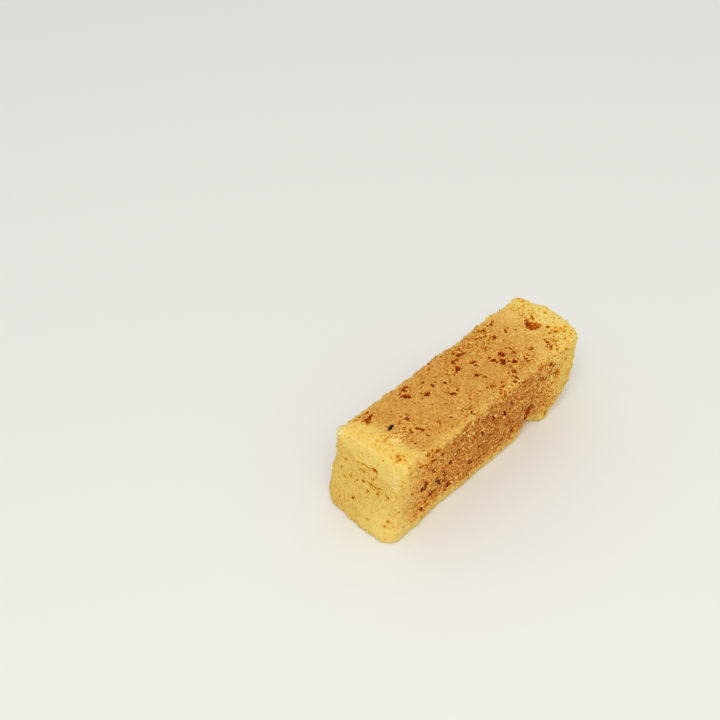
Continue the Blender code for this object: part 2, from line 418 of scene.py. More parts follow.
def placed_holes(bm, draw):
    sides = ((X, Y, TOP_HOLES), (X, Z, RIGHT_HOLES), (-Y, Z, NEAR_HOLES))
    for along, across, holes in sides:
        side = Matrix((along, across, along.cross(across))).transposed()
        sign = -1 if along == -Y else 1
        for place_along, place_across, length, breadth, turn in holes:
            place = surface_under(along, across, sign * place_along * MM, place_across * MM)
            if place is None:
                continue
            turned = side @ Matrix.Rotation(math.radians(turn), 3, "Z")
            add_hole(bm, place, turned, length * MM, breadth * MM, draw)
            for _ in range(draw.randint(*SATELLITES) if along == X else 0):
                away = Matrix.Rotation(draw.uniform(0, 2 * math.pi), 3, "Z") @ X
                away *= length / 2 + draw.uniform(*SATELLITE_GAPS)
                small = draw.uniform(*SATELLITE_LENGTHS) * MM
                add_hole(bm, place + side @ away * MM, turned, small, SATELLITE_BREADTH * small, draw)


# %% Strew the small holes
SMALL_HOLE_COUNT = 2400
SMALL_HOLE_LENGTHS = (0.35, 1.1)  # in mm
SMALL_HOLE_BREADTHS = (0.5, 0.95)  # of the length
NEAR_HOLE_SHARE = 0.05  # of the small holes that fall on the near end are kept
FAR_HOLE_SHARE = 0.25  # and of those on the far end
SIDE_HOLE_SHARE = 0.6  # and of those on the long sides
FACES_AWAY = 0.7  # a face whose normal has more than this along an axis looks that way
FACES_DOWN = -0.5  # and one whose normal has less than this along Z lies on the base
SMEAR_FADE = (3.0, 10.0)  # in mm from the near cut, over which the knife's smear on the sides ends
POROUS_SIZE = 8 * MM  # patches of the top are full of holes, and others nearly whole
POROUS_LIMITS = (-0.1, 0.4)  # of the noise that makes the patches, from a whole one to one full of holes
POROUS_SHARES = (0.06, 1.0)  # of the small holes that fall on the one and on the other are kept
POROUS_SLOPE = 0.011 / MM  # the far half has more of them
POROUS_PATCH_AT = Vector((-25.5, -4.5))  # in mm: one patch lies where the top turns from yellow to brown
POROUS_PATCH_FADE = (1.5, 5.5)


class Surface:
    """Random places on a mesh, each as likely as its face is large."""

    def __init__(self, mesh):
        self.mesh = mesh
        areas = np.zeros(len(mesh.polygons))
        mesh.polygons.foreach_get("area", areas)
        self.reach = np.cumsum(areas) / areas.sum()

    def pick(self, draw):
        face = self.mesh.polygons[int(np.searchsorted(self.reach, draw.random()))]
        return face.center.copy(), face.normal.copy()


def turned_to(outward, draw):
    """A frame whose third way is outward, with the other two turned by chance."""
    lean = outward.to_track_quat("Z", "Y").to_matrix()
    return lean @ Matrix.Rotation(draw.uniform(0, 2 * math.pi), 3, "Z")


def porous_at(place):
    """1 in a patch full of holes, and 0 in a whole one."""
    patch = 1 - smooth_step((place.xy / MM - POROUS_PATCH_AT).length, *POROUS_PATCH_FADE)
    chance = noise.noise(place / POROUS_SIZE) + POROUS_SLOPE * place.x
    return max(patch, smooth_step(chance, *POROUS_LIMITS))


def small_hole_chance(place, outward):
    """How likely a small hole is to stay where it fell."""
    if outward.z > FACES_AWAY:
        return between(*POROUS_SHARES, porous_at(place))
    if outward.x < -FACES_AWAY:
        return NEAR_HOLE_SHARE
    if outward.x > FACES_AWAY:
        return FAR_HOLE_SHARE
    return SIDE_HOLE_SHARE * smooth_step(from_near_cut(np.array(place)), *SMEAR_FADE)


def strewn_holes(bm, draw):
    surface = Surface(bar.data)
    kept = 0
    for _ in range(SMALL_HOLE_COUNT):
        place, outward = surface.pick(draw)
        length = draw.triangular(*SMALL_HOLE_LENGTHS, SMALL_HOLE_LENGTHS[0])
        breadth = length * draw.uniform(*SMALL_HOLE_BREADTHS)
        if outward.z > FACES_DOWN and draw.random() < small_hole_chance(place, outward):
            add_hole(bm, place, turned_to(outward, draw), length * MM, breadth * MM, draw)
            kept += 1
    return kept


# %% Cut them all at once
CUTTER_GRID = 0.2 * MM
RAGGED_SIZE = 0.6 * MM
RAGGED = 0.22 * MM  # how far the rims stray

draw = random.Random(SEED)
cutter_bm = bmesh.new()
placed_holes(cutter_bm, draw)
small_holes = strewn_holes(cutter_bm, draw)
print("small holes:", small_holes, "triangles in the cutter:", len(cutter_bm.faces))
cutter = add_piece("hole_cutter", cutter_bm)
remesh(cutter, CUTTER_GRID)
for vert in cutter.data.vertices:
    vert.co += noise.noise_vector(vert.co / RAGGED_SIZE) * RAGGED
cut = bar.modifiers.new("holes", "BOOLEAN")
cut.object = cutter
cut.solver = "MANIFOLD"
settle(bar)
cutter_tree = BVHTree.FromObject(cutter, bpy.context.evaluated_depsgraph_get())
bpy.data.objects.remove(cutter)
print("bar with its holes:", len(bar.data.polygons), "faces")

# %% [markdown]
# ## The crumb
# The cut sides are a crumb of small grains with gaps between them, and the top is a skin that set
# smooth. A bump in the material would look flat at the edge of the bar, so the grains are real: the
# bar is covered in an even skin of small squares, and every corner is moved out or in. A Voronoi
# pattern splits space into cells. Each cell is one grain: it has its own height and its own tone, and
# the borders between cells are the gaps, made darker later with painted shade.

# %% Tools for the corners of a mesh
def places_of(mesh):
    places = np.zeros(len(mesh.vertices) * 3)
    mesh.vertices.foreach_get("co", places)
    return places.reshape(-1, 3)


def store(mesh, name, values):
    layer = mesh.attributes.new(name, "FLOAT", "POINT")
    layer.data.foreach_set("value", np.asarray(values, np.float32))


def at_each(places, measure):
    """What a function of one place gives at each of many."""
    return np.array([measure(Vector(place)) for place in places])


def wander(places, size, reach):
    """Soft noise that bends a limit, so that none runs straight."""
    return reach * at_each(places, lambda place: noise.noise(place / size))


def form_under(places):
    """For each place, the way the melted form looks there, and how deep the place lies in it."""
    outward = np.zeros((len(places), 3))
    depth = np.zeros(len(places))
    for index, place in enumerate(places):
        place = Vector(place)
        nearest, normal = form_tree.find_nearest(place)[:2]
        outward[index] = normal
        depth[index] = (nearest - place).dot(normal)
    return outward, depth


# %% Shape the grains
GRAIN_SIZE = 0.66 * MM
GRAIN_SQUEEZE = np.array((0.88, 1, 1))  # grains are longer along the bar, so places are squeezed that way
GRAIN_WARP = 0.12  # in mm, how far a noise bends them
GRAIN_WARP_SIZE = 0.6 * MM
GRAIN_STEP = 0.07 * MM  # how far one grain may stand above the middle height, or lie below it
GRAIN_ROUND = 0.1 * MM  # from the border of a grain to its top
GAP_BREADTH = 0.32  # of a grain
GAP_PAINTED_SHADE = 0.7  # painted shade: how dark a gap is, where a crevice is 1
CLUMP_SIZE = 2.1 * MM
CLUMP_STEP = 0.06 * MM
CREVICE_DEPTH = 0.14 * MM
CREVICE_BREADTH = 0.14  # of a clump
CREVICE_PATCH_SIZE = 3 * MM  # the borders of clumps gape in patches
CREVICE_CONTRAST = 2
LUMP_SIZE = 5 * MM
LUMP_HEIGHT = 0.22 * MM
UNEVEN = (0.9, 2.1, 3)  # layered noise: how fast the layers fade, how much finer each is, how many


def cell_of(place, size):
    """The chance value of the Voronoi cell that holds a place, and how far off its border is, in sizes."""
    distances, points = noise.voronoi(place / size)
    return noise.cell(points[0]), distances[1] - distances[0]


def crumb_at(place):
    """How far the crumb stands out at a place, how light its grain is, and how much painted shade its gap
    or crevice gets.
    """
    warped = Vector(GRAIN_SQUEEZE * place) + noise.noise_vector(place / GRAIN_WARP_SIZE) * GRAIN_WARP * MM
    grain, to_border = cell_of(warped, GRAIN_SIZE)
    clump, to_crevice = cell_of(warped, CLUMP_SIZE)
    gap = max(0, 1 - to_border / GAP_BREADTH)
    gaping = max(0, min(1, 0.5 + CREVICE_CONTRAST * noise.noise(place / CREVICE_PATCH_SIZE)))
    crevice = max(0, 1 - to_crevice / CREVICE_BREADTH) * gaping
    lumps = noise.fractal(place / LUMP_SIZE, *UNEVEN)
    height = (
        GRAIN_STEP * grain
        - GRAIN_ROUND * gap * gap
        + CLUMP_STEP * clump
        - CREVICE_DEPTH * crevice
        + LUMP_HEIGHT * lumps
    )
    return height, grain, max(gap * gap * GAP_PAINTED_SHADE, crevice)


# %% Shape the skin
SKIN_SIZE = 1.6 * MM
SKIN_HEIGHT = 0.07 * MM


def skin_at(place):
    return SKIN_HEIGHT * noise.fractal(place / SKIN_SIZE, *UNEVEN)


# %% [markdown]
# ## Marks on the near end
# The knife pressed the near end smooth, cracked it below its upper edge, and shook at the upright
# edge, which left a ladder of small whitish ridges. Round the corners dry sugar makes the yellow
# fudge chalky. The cracks are narrower than the cutter's squares, so they are pressed in with the
# crumb: a crack is a chain of short straight runs, bent by noise and broken here and there.

# %% Draw the cracks
NEAR_PART = 12 * MM  # from the bar's lowest X, as far as these marks reach
# Across Y and up Z, in mm, each from a place to a place
NEAR_CRACKS = (
    (2.4, 21.4, 0.2, 21.9),
    (0.2, 21.9, -1.6, 21.5),
    (-1.6, 21.5, -3.8, 22.1),
    (-3.8, 22.1, -4.4, 21.1),
    (-3.0, 18.2, -4.0, 19.8),
    (-2.8, 15.4, -6.6, 17.1),
    (-4.3, 14.9, -6.2, 14.6),
    (-1.2, 16.7, -3.0, 16.2),
    (1.4, 19.5, -0.4, 19.2),
)
CRACK_BREADTH = 0.45 * MM
CRACK_DEPTH = 0.3 * MM
CRACK_PAINTED_SHADE = 4.0  # painted shade: how dark a crack is, where a gap between grains is 1
CRACK_STRAY = 0.45  # in mm
CRACK_STRAY_SIZE = 0.8 * MM
CRACK_BREAK_SIZE = 0.7 * MM
CRACK_BREAKS = (-0.4, 0.2)  # of a noise, from where the crack is shut to where it is open


def crack_at(place):
    """1 in the middle of a crack of the near end, and 0 off it."""
    if place.x > low_corner.x + NEAR_PART:
        return 0
    strayed = place + noise.noise_vector(place / CRACK_STRAY_SIZE) * CRACK_STRAY * MM
    broken = smooth_step(noise.noise(place / CRACK_BREAK_SIZE), *CRACK_BREAKS)
    at = Vector((strayed.y, strayed.z)) / MM
    best = CRACK_BREADTH / MM
    for y0, z0, y1, z1 in NEAR_CRACKS:
        start, run = Vector((y0, z0)), Vector((y1 - y0, z1 - z0))
        share = max(0, min(1, (at - start).dot(run) / run.length_squared))
        best = min(best, (at - start - run * share).length)
    return (1 - best * MM / CRACK_BREADTH) * broken


# %% Draw the ladder of ridges
CHATTER_AT = (-10.9, 21.8)  # across and up, in mm
CHATTER_REACH = (1.3, 3.6)
CHATTER_FADE = 0.3  # of its reach
CHATTER_STEP = 1.0  # in mm, from one ridge to the next
CHATTER_HEIGHT = 0.16 * MM
CHATTER_STRAY = 0.3  # in mm
CHATTER_STRAY_SIZE = 1.5 * MM


def chatter_at(place):
    """1 on the ridges that the shaking knife left beside the upright edge, and 0 off them."""
    if place.x > low_corner.x + NEAR_PART:
        return 0
    strayed = place / MM + noise.noise_vector(place / CHATTER_STRAY_SIZE) * CHATTER_STRAY
    across = (strayed.y - CHATTER_AT[0]) / CHATTER_REACH[0]
    up = (strayed.z - CHATTER_AT[1]) / CHATTER_REACH[1]
    ridge = 0.5 + 0.5 * math.cos(2 * math.pi * strayed.z / CHATTER_STEP)
    return ridge * smooth_step(1 - math.hypot(across, up), 0, CHATTER_FADE)


# %% Find the chalky places
CHALKY = 2.0  # the sugar number where the fudge is chalky, and 1 is a grain of sugar, partly a painted glint
# Round which place, how far in mm, and how much
CHALKY_PATCHES = (
    ((-36.2, 10.4, 27.4), 2.6, 1.0),
    ((-28.0, -3.7, 28.0), 1.9, 0.72),
    ((-35.2, -1.0, 28.0), 2.2, 0.75),
    ((-36.4, -8.6, 28.0), 1.8, 0.75),
)
CHALK_SIZE = 0.8 * MM
CHALK_STRAY = 0.8
CHALK_LIMITS = (0.15, 0.65)


def chalk_at(place):
    """1 where the fudge is chalky, and 0 where it isn't."""
    stray = CHALK_STRAY * noise.noise(place / CHALK_SIZE)
    most = 0
    for middle, reach, strength in CHALKY_PATCHES:
        inside = 1 - (place / MM - Vector(middle)).length / reach
        most = max(most, strength * smooth_step(inside + stray, *CHALK_LIMITS))
    return most


# %% [markdown]
# ## Where the crumb shows
# The crumb doesn't show everywhere alike. It is full on the long sides, faint in the skin of the top
# and on the pressed near end, and smeared beside it. A mask says how much of it shows at each corner
# of the mesh. It could be painted by hand, but a mask worked out from the form and its edges stays
# right when the form is changed.

# %% Find the rim of the top
RIM_DEPTHS = (0.3, 3.0)  # in mm below the top, from where the rim is whole to where it ends
RIM_WANDER = 1.0  # in mm
RIM_WANDER_SIZE = 4 * MM
TOP_PROBES = 90  # places along the bar where the height of its top is read
TOP_PROBE_ACROSS = 10 * MM


def under_top(places):
    """How far each place lies below the edge of the top, in mm."""
    along = np.linspace(low_corner.x, high_corner.x, TOP_PROBES)
    below = np.zeros(len(places))
    for side in (-1, 1):
        found = [surface_under(X, Y, x, side * TOP_PROBE_ACROSS) for x in along]
        tops = np.array([place.z if place else np.nan for place in found])
        known = ~np.isnan(tops)
        here = np.interp(places[:, 0], along[known], tops[known]) - places[:, 2]
        below = np.where(places[:, 1] * side > 0, here, below)
    return below / MM


def rim_share(places):
    """1 at the top's edge, and 0 below it, with a limit that strays."""
    return 1 - smooth_step(under_top(places) + wander(places, RIM_WANDER_SIZE, RIM_WANDER), *RIM_DEPTHS)


# %% Find the loose band of the near end
# Above this line, given across and up in mm, the pressed near end gives way to a looser band
BAND_EDGE = ((-12.5, 20.2), (-4.5, 21.2), (2.0, 21.9), (6.0, 24.0), (12.5, 25.6))
BAND_FADE = (-0.3, 0.5)
BAND_WANDER = 0.5
BAND_WANDER_SIZE = 1.4 * MM


def band_share(places):
    """1 on the loose band along the top of the near end, and 0 below it."""
    _, y, z = (places / MM).T
    limit = np.interp(y, *zip(*BAND_EDGE))
    return smooth_step(z - limit + wander(places, BAND_WANDER_SIZE, BAND_WANDER), *BAND_FADE)


# %% Say how much of the crumb shows
SKIN_TILTS = (0.72, 0.975)  # how far a face looks up, from where the skin starts to where it is whole
END_TILTS = (0.2, 0.6)  # and how far it looks out of the near end
SKIN_CRUMB_SHARE = 0.1  # how much of the crumb still shows in the skin
LOOSE_SHARE = 0.7  # in the strip of skin beside the near end
LOOSE_FADE = (3.0, 9.0)  # in mm from that end
POROUS_CRUMB_SHARE = 0.4  # in the skin where it is most porous
END_CRUMB_SHARE = 0.26  # on the pressed near end
BAND_CRUMB_SHARE = 0.85  # on the band above it
EDGE_CRUMB_SHARE = 0.22  # on the sides where they meet an end
FAR_EDGE_FADE = (-1.0, 3.5)  # in mm from the far end
RIM_CRUMB_SHARE = 0.3  # just under the top's edge


def crumb_share(places, outward):
    """1 where the surface is crumb, and less where it is skin or was pressed by the knife."""
    skin = smooth_step(outward[:, 2], *SKIN_TILTS)
    end = smooth_step(-outward[:, 0], *END_TILTS)
    near = from_near_cut(places)
    on_end = between(END_CRUMB_SHARE, BAND_CRUMB_SHARE, band_share(places))
    apart = smooth_step(near, *SMEAR_FADE) * smooth_step(to_far_end(places), *FAR_EDGE_FADE)
    on_side = between(EDGE_CRUMB_SHARE, 1, apart)
    on_cut = between(on_side, on_end, end) * between(1, RIM_CRUMB_SHARE, rim_share(places))
    loose = LOOSE_SHARE * (1 - smooth_step(near, *LOOSE_FADE))
    porous = POROUS_CRUMB_SHARE * at_each(places, porous_at)
    on_skin = np.maximum.reduce((loose, porous, np.full(len(places), SKIN_CRUMB_SHARE)))
    return between(on_cut, on_skin, skin)


# %% [markdown]
# ## Painted light and shade on the fudge
# Some of the fudge's lightness is painted light and shade. The loose band turns up to the lamp and
# gets painted light, the pressed end turns away and gets painted shade, and the foot and the near end
# round its lower corner get painted light thrown up from the floor. Painted light from behind lightens
# the far end, and the crumb towards the near end is a little lighter. It could be left to chance, but
# then the bar would look the same all over. The bar and its loose crumbs share one measure of it, or
# the crumbs would stand out as dots.

# %% Say how much painted light and shade the fudge gets
END_PAINTED_SHADE = 0.12  # painted shade: the pressed end turns away from the lamp, so it is darker than the loose crumb
BAND_PAINTED_LIGHT = 0.55  # painted light: the loose band above it turns up to the lamp, so it is lighter, and so is the strip of top beside the near end
CORNER_PAINTED_BOUNCE = 0.5  # painted light thrown up from the floor: so is the near end round its lower right corner
CORNER_AT = (-13.0, 0.0)  # across and up, in mm
CORNER_FADE = (3.0, 17.0)
FOOT_PAINTED_BOUNCE = 0.75  # painted light thrown up from the floor: and the foot
FOOT_FADE = (0.8, 6.5)  # in mm up from it
NEAR_LIGHT, FAR_PAINTED_LIGHT = 0.33, 0.65  # and the crumb towards either end; at the far end this is painted light from behind
NEAR_LIGHT_FADE, FAR_LIGHT_FADE = (2.0, 32.0), (2.0, 24.0)  # in mm from it


def tone_and_painted_light_of(places, outward):
    """How much painted light and shade make the fudge lighter or darker than usual at each place."""
    end = smooth_step(-outward[:, 0], *END_TILTS)
    skin = smooth_step(outward[:, 2], *SKIN_TILTS)
    band = band_share(places)
    near, far = from_near_cut(places), to_far_end(places)
    apart = smooth_step(np.hypot(*(places[:, 1:] / MM - CORNER_AT).T), *CORNER_FADE)
    on_end = BAND_PAINTED_LIGHT * band + CORNER_PAINTED_BOUNCE * (1 - apart) - END_PAINTED_SHADE * (1 - band) * apart
    on_foot = FOOT_PAINTED_BOUNCE * (1 - smooth_step(places[:, 2] / MM, *FOOT_FADE))
    on_side = NEAR_LIGHT * (1 - smooth_step(near, *NEAR_LIGHT_FADE))
    on_strip = BAND_PAINTED_LIGHT * (1 - smooth_step(near, *LOOSE_FADE))
    on_far = FAR_PAINTED_LIGHT * (1 - smooth_step(far, *FAR_LIGHT_FADE))
    return end * on_end + (1 - end) * (on_foot + on_side * (1 - skin)) + on_strip * skin + on_far


# %% Move the bar's surface out and in
FINE_GRID = 0.22 * MM
LEAST_TONE_SHARE = 0.2  # grains show a little even where they are pressed flat
BASE_TILTS = (0.5, 0.9)  # how far a face looks down, from the sides to the base, which stays flat


def grow_crumb(piece):
    remesh(piece, FINE_GRID)
    mesh = piece.data
    places = places_of(mesh)
    outward, _ = form_under(places)
    share = crumb_share(places, outward)
    crumb = at_each(places, crumb_at)
    skin = at_each(places, skin_at)
    normals = np.zeros(len(mesh.vertices) * 3)
    mesh.vertex_normals.foreach_get("vector", normals)
    cracks = at_each(places, crack_at) * smooth_step(-outward[:, 0], *END_TILTS)
    chatter = at_each(places, chatter_at)
    heights = share * crumb[:, 0] + (1 - share) * skin - CRACK_DEPTH * cracks + CHATTER_HEIGHT * chatter
    heights *= 1 - smooth_step(-outward[:, 2], *BASE_TILTS)
    places += normals.reshape(-1, 3) * heights[:, None]
    places[:, 2] = np.maximum(places[:, 2], 0)
    mesh.vertices.foreach_set("co", places.ravel())
    tone = 0.5 + 0.5 * crumb[:, 1] * np.maximum(share, LEAST_TONE_SHARE)
    # The tone stored is the grain's own tone with the painted light and shade of the ends, band, corner
    # and foot added.
    store(mesh, "tone", tone + tone_and_painted_light_of(places, outward))
    # The gap number is painted shade in the gaps between grains, in the crevices and in the cracks.
    store(mesh, "gap", np.maximum(crumb[:, 2] * share, CRACK_PAINTED_SHADE * cracks))
    store(mesh, "porous", at_each(places, porous_at))
    store(mesh, "sugar", CHALKY * np.maximum(chatter, at_each(places, chalk_at)))
    mesh.update()
    return heights


heights = grow_crumb(bar)
print("crumb stands out and in, mm:", round(heights.max() / MM, 2), round(heights.min() / MM, 2))

# %% [markdown]
# ## Fewer triangles
# The flat base and the smooth top have more squares than they need. Decimate joins small faces where
# the surface is nearly flat first, so the crumb keeps its detail.

# %% Thin the mesh
MOST_TRIANGLES = 190_000


def triangles_of(mesh):
    return len(mesh.loops) - 2 * len(mesh.polygons)


def thin(piece):
    triangles = triangles_of(piece.data)
    if triangles > MOST_TRIANGLES:
        fewer = piece.modifiers.new("fewer", "DECIMATE")
        fewer.ratio = MOST_TRIANGLES / triangles
        settle(piece)
    piece.data.shade_smooth()


thin(bar)
print("bar:", triangles_of(bar.data), "triangles")

# %% [markdown]
# ## Loose grains
# The knife leaves crumbs on the cut sides and along the edges. They are small rough balls that stand
# half sunk in the surface, all joined in one piece. A particle system would be quicker to set up, but
# real meshes also reach an exported model. Here and there one is a pale grain of sugar, which partly
# stands for a painted glint of ghee.

# %% Places and sizes of the crumbs
CRUMB_COUNT = 3200
CRUMB_RADII = (0.12, 0.4)  # in mm
CRUMB_SHADES = (0.1, 0.9)  # a crumb's tone
SUGAR_AND_GLINT_SHARE = 0.08
SUGAR_TONE = 0.5
# Pale grains that show singly, partly sugar and partly painted glints, near which place, in mm
SUGAR_AND_GLINT_GRAINS = (
    (-15.8, -10.5, 7.1),
    (-13.9, -10.5, 7.6),
    (-27.4, -11.0, 6.6),
    (1.2, -12.0, 21.4),
    (-8.5, -12.5, 25.9),
    (-11.6, -12.5, 25.0),
    (-7.8, -12.0, 21.6),
    (-9.8, -12.0, 22.3),
    (-8.1, -11.5, 15.8),
    (-10.9, -11.5, 17.4),
    (-8.9, -12.0, 19.2),
    (-12.0, -11.5, 20.4),
    (-8.3, -8.2, 28.0),
    (18.5, -7.5, 28.0),
    (19.2, -7.0, 28.0),
    (-26.5, -4.1, 28.0),
    (-38.5, -11.5, 16.5),
    (-40.0, -12.1, 8.1),
    (-40.0, -11.6, 7.4),
)
SUGAR_RADII = (0.28, 0.45)
# Chalky ones at the left corner of the near end, and down its edge, where they are partly a painted
# highlight along the outline
CHALK_AND_EDGE_HIGHLIGHT_GRAINS = (
    (-37.2, 11.6, 26.8),
    (-36.8, 11.2, 27.6),
    (-36.4, 11.9, 27.9),
    (-36.0, 10.6, 28.0),
    (-35.6, 12.0, 28.2),
    (-35.2, 11.4, 28.0),
    (-37.4, 9.6, 27.2),
    (-37.8, 12.0, 24.8),
    (-38.2, 12.1, 21.6),
    (-38.6, 12.2, 18.4),
    (-39.4, 12.4, 13.4),
)
CHALKY_RADII = (0.35, 0.6)
# The larger ones that stand out at the bar's outline: near which place, and how big, in mm
LARGE_CRUMBS = (
    ((-40.7, 3.0, 0.7), 0.9),
    ((-41.2, 1.6, 0.6), 0.5),
    ((-41.0, 4.6, 0.5), 0.6),
    ((-40.9, -1.4, 0.5), 0.5),
    ((-41.0, -4.2, 0.6), 0.6),
    ((-40.6, -7.4, 0.5), 0.5),
    ((-40.4, 8.4, 0.6), 0.6),
    ((24.0, -11.2, 0.5), 0.8),
    ((37.8, -12.3, 25.0), 0.55),
    ((37.7, -12.0, 21.5), 0.45),
    ((-36.7, 11.8, 27.4), 0.7),
    ((-35.2, 11.6, 28.0), 0.6),
    ((-34.0, 12.0, 27.8), 0.45),
    ((-37.0, 10.2, 27.6), 0.5),
    ((36.9, 10.6, 28.2), 0.6),
    ((40.3, 1.2, 28.0), 0.9),
    ((40.4, 2.3, 28.0), 0.6),
    ((36.4, -12.8, 8.0), 0.8),
    ((36.2, -12.6, 5.0), 0.9),
    ((35.2, -12.3, 3.0), 0.8),
    ((-2.1, -10.8, 0.7), 0.6),
    ((7.0, -10.8, 0.6), 0.5),
    ((12.3, -10.6, 0.6), 0.55),
    ((-12.0, -11.0, 0.5), 0.45),
    ((-20.5, -11.0, 0.5), 0.5),
)
LARGE_RADIUS = 0.72  # of that size
LARGE_SINK = 0.2  # of it too
EDGE_CRUMB_RADII = (0.25, 0.6)  # in mm
EDGE_SINK = 0.3  # of the radius
# How many lie along an edge, and between which limits along X, Y and Z, in mm
CRUMBLED_EDGES = (
    (170, (-36.0, 37.0), (11.2, 12.8), (27.0, 28.6)),
    (150, (-39.0, 30.0), (-12.5, -10.0), (0.0, 0.9)),
    (50, (-43.0, -39.0), (-10.0, 12.0), (0.0, 0.9)),
)

# %% Strew the crumbs
TOP_TILTS = (0.75, 0.97)  # how far a face looks up, from where crumbs stay to where few do
CUT_TILTS = (0.6, 0.9)  # and how far it looks out of the near end
PRESSED_TO = (21, 23)  # in mm up the near end, where its pressed part ends
FOOT_CRUMBS = (0.8, 2.5)  # in mm up from the foot, where crumbs are most
CLEAN_TOP, CLEAN_END, CLEAN_SMEAR = 0.96, 0.8, 0.75  # how many of them the smooth places lose
SIDE_CRUMBS = 0.45  # how likely one stays above the foot
UNDERSIDE = -0.6  # a face whose normal has less than this along Z keeps none
CRUMB_LIFT = 0.2  # how far its middle stands off the surface, of its radius
CRUMB_LEAST_SEAT = 0.6  # of its radius, above the floor
CRUMB_REACHES = ((0.8, 1.3), (0.8, 1.2), (0.6, 1))  # of its radius, each way
CRUMB_ROUGHNESS = 0.7
CRUMB_BUMPS = 1.3


def crumb_chance(place, outward):
    """How likely a crumb is to stay where it fell: seldom on the smooth top and the pressed end."""
    top = smooth_step(outward.z, *TOP_TILTS)
    end = smooth_step(-outward.x, *CUT_TILTS) * (1 - smooth_step(place.z / MM, *PRESSED_TO))
    smeared = 1 - smooth_step(from_near_cut(np.array(place)), *SMEAR_FADE)
    on_side = abs(outward.x) < FACES_AWAY
    foot = 1 - smooth_step(place.z / MM, *FOOT_CRUMBS)
    chance = (1 - CLEAN_TOP * top) * (1 - CLEAN_END * end) * (1 - CLEAN_SMEAR * smeared * on_side)
    return chance * between(SIDE_CRUMBS, 1, foot) * (outward.z > UNDERSIDE)


def add_crumb(bm, place, outward, radius, draw):
    reach = Vector([draw.uniform(*limits) for limits in CRUMB_REACHES]) * radius
    seat = place + outward * radius * CRUMB_LIFT
    seat.z = max(seat.z, CRUMB_LEAST_SEAT * radius)
    drop_into(bm, rough_ball(CRUMB_ROUGHNESS, CRUMB_BUMPS, reach, draw), seat, turned_to(outward, draw))


def seat_of(near):
    """The place on the form that is nearest to one in mm, and the way it looks there."""
    return form_tree.find_nearest(Vector(near) * MM)[:2]


def strew_crumbs(draw):
    bm = bmesh.new()
    surface = Surface(bar.data)
    tones, sugars = [], []

    def lay(place, outward, radius, sugar=0):
        """Adds one crumb, or a grain of sugar that is partly a painted glint, and notes what it is."""
        add_crumb(bm, place, outward, radius, draw)
        tones.append(SUGAR_TONE if sugar else draw.uniform(*CRUMB_SHADES))
        sugars.append(sugar)

    for near, size in LARGE_CRUMBS:
        place, outward = seat_of(near)
        lay(place - outward * size * LARGE_SINK * MM, outward, size * LARGE_RADIUS * MM)
    for grains, radii, sugar in ((SUGAR_AND_GLINT_GRAINS, SUGAR_RADII, 1), (CHALK_AND_EDGE_HIGHLIGHT_GRAINS, CHALKY_RADII, CHALKY)):
        for near in grains:
            place, outward = seat_of(near)
            lay(place, outward, draw.uniform(*radii) * MM, sugar)
    for count, *limits in CRUMBLED_EDGES:
        for _ in range(count):
            place, outward = seat_of([draw.uniform(*limit) for limit in limits])
            radius = draw.triangular(*EDGE_CRUMB_RADII, EDGE_CRUMB_RADII[0]) * MM
            lay(place - outward * EDGE_SINK * radius, outward, radius)
    while len(tones) < CRUMB_COUNT:
        place, outward = surface.pick(draw)
        if draw.random() <= crumb_chance(place, outward):
            lay(place, outward, draw.triangular(*CRUMB_RADII, CRUMB_RADII[0]) * MM)
            sugars[-1] = draw.random() < SUGAR_AND_GLINT_SHARE
    for vert in bm.verts:
        vert.co.z = max(vert.co.z, 0)
    per_crumb = len(bm.verts) // len(tones)
    piece = add_piece("crumbs", bm)
    places = places_of(piece.data)
    # Each crumb's tone gets the same painted light and shade as the bar beneath it.
    store(piece.data, "tone", np.repeat(tones, per_crumb) + tone_and_painted_light_of(places, form_under(places)[0]))
    for name in ("gap", "porous"):
        store(piece.data, name, np.zeros(len(piece.data.vertices)))
    store(piece.data, "sugar", np.repeat(sugars, per_crumb))
    return piece


crumbs = strew_crumbs(draw)
crumbs.data.shade_smooth()
print("crumbs:", triangles_of(crumbs.data), "triangles")

# %% [markdown]
# ## The burnt speck
# One flake of scorched flour sits on the top near the pale end. It could be painted on, but it
# stands up a little and has a face of its own, so it is a small ball made uneven and flattened.

# %% Make the speck
SPECK_AT = (-26.0, 0.1)  # along and across the top, in mm
SPECK_REACH = Vector((1.2, 0.42, 0.32)) * MM
SPECK_TURN = math.radians(14)
SPECK_LIFT = 0.12  # in mm
SPECK_ROUGHNESS = 0.45
SPECK_BUMPS = 1.5


def burnt_speck():
    bm = bmesh.new()
    bmesh.ops.create_icosphere(bm, subdivisions=4, radius=1)
    for vert in bm.verts:
        vert.co *= 1 + SPECK_ROUGHNESS * noise.fractal(vert.co * SPECK_BUMPS, *UNEVEN)
    bmesh.ops.scale(bm, vec=SPECK_REACH, verts=bm.verts)
    seat = surface_under(X, Y, SPECK_AT[0] * MM, SPECK_AT[1] * MM) + Z * SPECK_LIFT * MM
    turned = Matrix.Rotation(SPECK_TURN, 4, "Z")
    bmesh.ops.transform(bm, matrix=Matrix.Translation(seat) @ turned, verts=bm.verts)
    return add_piece("burnt_speck", bm)


speck = burnt_speck()
speck.data.shade_smooth()
print("speck:", triangles_of(speck.data), "triangles")

# %% [markdown]
# ## Where it browned
# The colour follows the heat. The near end, the far end and the foot lay against the cool tray and
# stayed yellow, and the rest browned. The crumb gave each corner of a mesh four numbers: its tone with
# painted light and shade added, how much painted shade its gap gets, how porous its place is, and
# whether it is sugar. It now gets five more: how pale it is, how much it belongs to the smooth skin, how
# deep it lies, whether it is the wall of a hole, and whether it is a hole's lip, where the fudge is thin
# and crumbled and looks paler. Painting them by hand would take a day. They are worked out from the
# form and from the cutter of the holes, and the material reads them as attributes.

